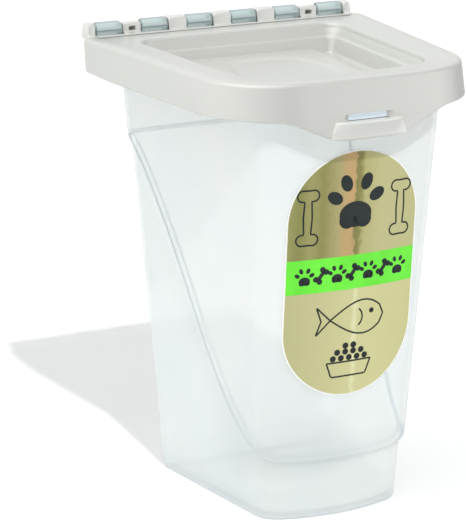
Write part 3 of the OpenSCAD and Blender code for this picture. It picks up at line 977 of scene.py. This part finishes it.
class Ink:
    """Printed shapes on the label, gathered into one thin mesh."""

    def __init__(self):
        self.points = []
        self.faces = []

    def sheet(self, rows):
        """Grid of (x, z) points, rows by columns."""
        first = len(self.points)
        rows = np.array(rows)
        count, width = rows.shape[:2]
        for row in rows:
            for x, z in row:
                self.points.append(on_front(x, z, 0.3))
        for k in range(count - 1):
            for i in range(width - 1):
                a = first + k * width + i
                self.faces.append((a, a + 1, a + width + 1, a + width))

    def stroke(self, path, width):
        """Line of even width along a path of (x, z) points."""
        path = np.array(path, float)
        along = np.concatenate([[0], np.cumsum(np.linalg.norm(np.diff(path, axis=0), axis=1))])
        places = np.linspace(0, along[-1], max(2, int(along[-1] / 1.2)) + 1)
        path = np.column_stack([np.interp(places, along, path[:, k]) for k in (0, 1)])
        run = np.gradient(path, axis=0)
        run = run / np.linalg.norm(run, axis=1)[:, None]
        side = np.column_stack([-run[:, 1], run[:, 0]]) * width / 2
        self.sheet([path - side, path, path + side])

    def spot(self, x, z, rx, rz, turn=0.0, steps=28):
        """Filled ellipse, turned by turn degrees."""
        angles = np.linspace(0, 2 * math.pi, steps + 1)
        c, s = math.cos(math.radians(turn)), math.sin(math.radians(turn))
        rows = []
        for share in (0.02, 0.5, 1):
            ex, ez = rx * share * np.cos(angles), rz * share * np.sin(angles)
            rows.append(np.column_stack([x + ex * c - ez * s, z + ex * s + ez * c]))
        self.sheet(rows)

    def bone(self, x, z, length, size, turn=0.0):
        """Filled bone; size is the width of its shaft."""
        c, s = math.cos(math.radians(turn)), math.sin(math.radians(turn))
        reach = length / 2 - size * 0.6
        for end in (-1, 1):
            for side in (-1, 1):
                dx, dz = end * reach, side * size * 0.6
                self.spot(x + dx * c - dz * s, z + dx * s + dz * c, size * 0.72, size * 0.72)
        self.stroke([(x - reach * c, z - reach * s), (x + reach * c, z + reach * s)], size)

    def bone_outline(self, x, z, length, size, width):
        """Upright bone drawn as one line."""
        half, lobe = length / 2 - size, size * 0.78
        right = [(size * 0.62, 0)]
        for a in np.radians(np.linspace(-110, 110, 15)):
            right.append((size * 0.75 + lobe * math.cos(a), half + lobe * math.sin(a)))
        quarter = np.array(right)
        upper = np.vstack([quarter, quarter[::-1] * (-1, 1)])
        loop = np.vstack([upper, upper[::-1] * (1, -1), upper[:1]])
        self.stroke(loop + (x, z), width)

    def paw(self, x, z, size):
        self.spot(x, z - 0.30 * size, 0.40 * size, 0.30 * size)
        for side in (-1, 1):
            self.spot(x + side * 0.20 * size, z - 0.42 * size, 0.20 * size, 0.20 * size)
        for turn, away in ((-60, 0.60), (-21, 0.70), (21, 0.70), (60, 0.60)):
            a = math.radians(90 - turn)
            self.spot(x + away * size * math.cos(a), z - 0.15 * size + away * size * math.sin(a) * 0.9,
                      0.14 * size, 0.20 * size, -turn)

    def fish(self, x, z, length, width):
        """Side view of a fish as a line, with an eye and gill."""
        half, depth = length / 2, length * 0.22
        t = np.linspace(0.12, 1, 16)
        back = np.column_stack([half - length * 0.78 * t, depth * np.sin(math.pi * t**0.8)])
        nose = np.array([(half - length * 0.04, 0)])
        tip, fork = -half + 1.5, -half + length * 0.10
        tail = np.array([(tip, depth * 0.85), (fork, 0), (tip, -depth * 0.85)])
        belly = back * (1, -1)
        loop = np.vstack([nose, back, tail, belly[::-1], nose])
        self.stroke(loop + (x, z), width)
        self.spot(x + half * 0.58, z + depth * 0.28, 1.5, 1.5)
        gill = arc(x + half * 0.05, z, depth * 0.62, -0.9, 0.9, 8)
        self.stroke(gill, width)

    def bowl(self, x, z, half, width):
        """Bowl in outline, with a heap of round biscuits on it."""
        foot = half * 0.78
        deep = half * 0.62
        biscuit = half * 0.13
        self.stroke([(x - half, z), (x + half, z)], width)
        self.stroke([(x - half, z), (x - foot, z - deep), (x + foot, z - deep), (x + half, z)], width)
        for row, count in enumerate((5, 4, 2)):
            height = z + 2.4 + row * half * 0.26
            for i in range(count):
                self.spot(x + (i - (count - 1) / 2) * half * 0.36, height, biscuit, biscuit)

    def finish(self, name):
        obj = add_mesh(name, self.points, self.faces)
        thicken(obj, PRINT_T)
        finish_piece(obj, INK, "container", "dark_ink")


def make_pictures():
    """Plain pet pictures in place of the drawn faces and the lettering."""
    top = Ink()
    top.paw(0, 191, 25)
    top.finish("label_paw_print")
    bones = Ink()
    for side in (-1, 1):
        bones.bone_outline(side * 29, 184, 34, 4.2, 0.9)
    bones.finish("label_bones_print")
    fish = Ink()
    fish.fish(0, 122, 46, 0.9)
    fish.finish("label_fish_print")
    bowl = Ink()
    bowl.bowl(0, 96, 14, 0.9)
    bowl.finish("label_bowl_print")
    row = Ink()
    middle = (band_low.z + band_high.z) / 2
    for i in range(7):
        x = (i - 3) * 9.8
        if i % 2:
            row.bone(x, middle, 9.5, 2.3, 55)
        else:
            row.paw(x, middle, 8.2)
    row.finish("label_band_print")


# --------------------------------------------------------------- studio, camera


SKY_LEVEL = 0.555
SKY_SIDE = 0.43
SKY_OVERHEAD = 0.16


def math_node(tree, operation, first, second, third=None):
    """Maths node; each of its operands is a socket or a number."""
    node = tree.nodes.new("ShaderNodeMath")
    node.operation = operation
    for slot, operand in enumerate((first, second, third)):
        if isinstance(operand, (int, float)):
            node.inputs[slot].default_value = operand
        elif operand is not None:
            tree.links.new(operand, node.inputs[slot])
    return node


def make_sky():
    """Soft light all round, brighter to the left, the back and overhead, with three soft boxes."""
    world = bpy.data.worlds.new("studio")
    bpy.context.scene.world = world
    world.use_nodes = True
    tree = world.node_tree
    coords = tree.nodes.new("ShaderNodeTexCoord")

    def along(direction):
        node = tree.nodes.new("ShaderNodeVectorMath")
        node.operation = "DOT_PRODUCT"
        node.inputs[1].default_value = direction
        tree.links.new(coords.outputs["Generated"], node.inputs[0])
        return node.outputs["Value"]

    split = tree.nodes.new("ShaderNodeSeparateXYZ")
    tree.links.new(coords.outputs["Generated"], split.inputs["Vector"])
    # Squared height: the same below the horizon, which reflections see because the floor is hidden
    overhead = math_node(tree, "MULTIPLY", split.outputs["Z"], split.outputs["Z"])
    overhead.use_clamp = True
    gradient = math_node(tree, "MULTIPLY_ADD", along((-0.78, 0.62, 0)), SKY_SIDE, SKY_LEVEL)
    total = math_node(
        tree, "MULTIPLY_ADD", overhead.outputs["Value"], SKY_OVERHEAD, gradient.outputs["Value"])
    # Direction of each soft box, cosine at its edge, strength at its middle
    soft_boxes = (
        ((0.8, -0.6, 0), 0.65, 0.75),
        ((-0.45, -0.1, 0.887), 0.75, 0.75),
        ((0.42, 0.866, 0.27), 0.75, 0.25),
    )
    for direction, edge, strength in soft_boxes:
        box = tree.nodes.new("ShaderNodeMapRange")
        box.inputs["From Min"].default_value = edge
        box.inputs["To Max"].default_value = strength
        tree.links.new(along(direction), box.inputs["Value"])
        total = math_node(tree, "ADD", total.outputs["Value"], box.outputs["Result"])
    background = tree.nodes["Background"]
    background.inputs["Color"].default_value = (0.985, 1, 1, 1)
    tree.links.new(total.outputs["Value"], background.inputs["Strength"])


def make_studio():
    bpy.ops.mesh.primitive_plane_add(size=12, location=(0, 0, 0))
    floor = bpy.context.object
    floor.name = "studio_floor"
    material, tree, shader = new_material("studio_floor")
    shader.inputs["Base Color"].default_value = (0.82, 0.82, 0.82, 1)
    shader.inputs["Roughness"].default_value = 1
    shader.inputs["Specular IOR Level"].default_value = 0
    shader.inputs["Emission Color"].default_value = (1, 1, 1, 1)
    shader.inputs["Emission Strength"].default_value = 0.1
    floor.data.materials.append(material)
    floor.visible_glossy = False

    make_sky()

    key = bpy.data.lights.new("key", "SUN")
    key.energy = 1.75
    key.angle = math.radians(1.6)
    sun = bpy.data.objects.new("key", key)
    sun.rotation_mode = "QUATERNION"
    towards_sun = Vector((-31, -226, 262))
    sun.rotation_quaternion = towards_sun.to_track_quat("Z", "Y")
    sun.visible_glossy = False
    bpy.context.scene.collection.objects.link(sun)


def make_camera():
    data = bpy.data.cameras.new("camera")
    data.lens = 168.66
    data.sensor_width = 36
    camera = bpy.data.objects.new("camera", data)
    azimuth, elevation, roll = (math.radians(a) for a in (-25.898, 15.95, -0.281))
    distance = 1.42817
    target = Vector((-0.0373, 0, 0.14))
    sa, ca, se, ce = math.sin(azimuth), math.cos(azimuth), math.sin(elevation), math.cos(elevation)
    back = Vector((sa * ce, -ca * ce, se))
    right = Vector((ca, sa, 0))
    up = back.cross(right)
    turned_right = right * math.cos(roll) + up * math.sin(roll)
    turned_up = up * math.cos(roll) - right * math.sin(roll)
    place = Matrix((turned_right, turned_up, back)).transposed().to_4x4()
    place.translation = target + back * distance
    camera.matrix_world = place
    data.clip_start = 0.05
    data.clip_end = 50
    bpy.context.scene.collection.objects.link(camera)
    bpy.context.scene.camera = camera
    bpy.context.scene.view_settings.view_transform = "Standard"


make_camera()
make_studio()
make_container()
make_lid()
make_lip()
make_hinge()
make_catch()
make_label()
make_pictures()
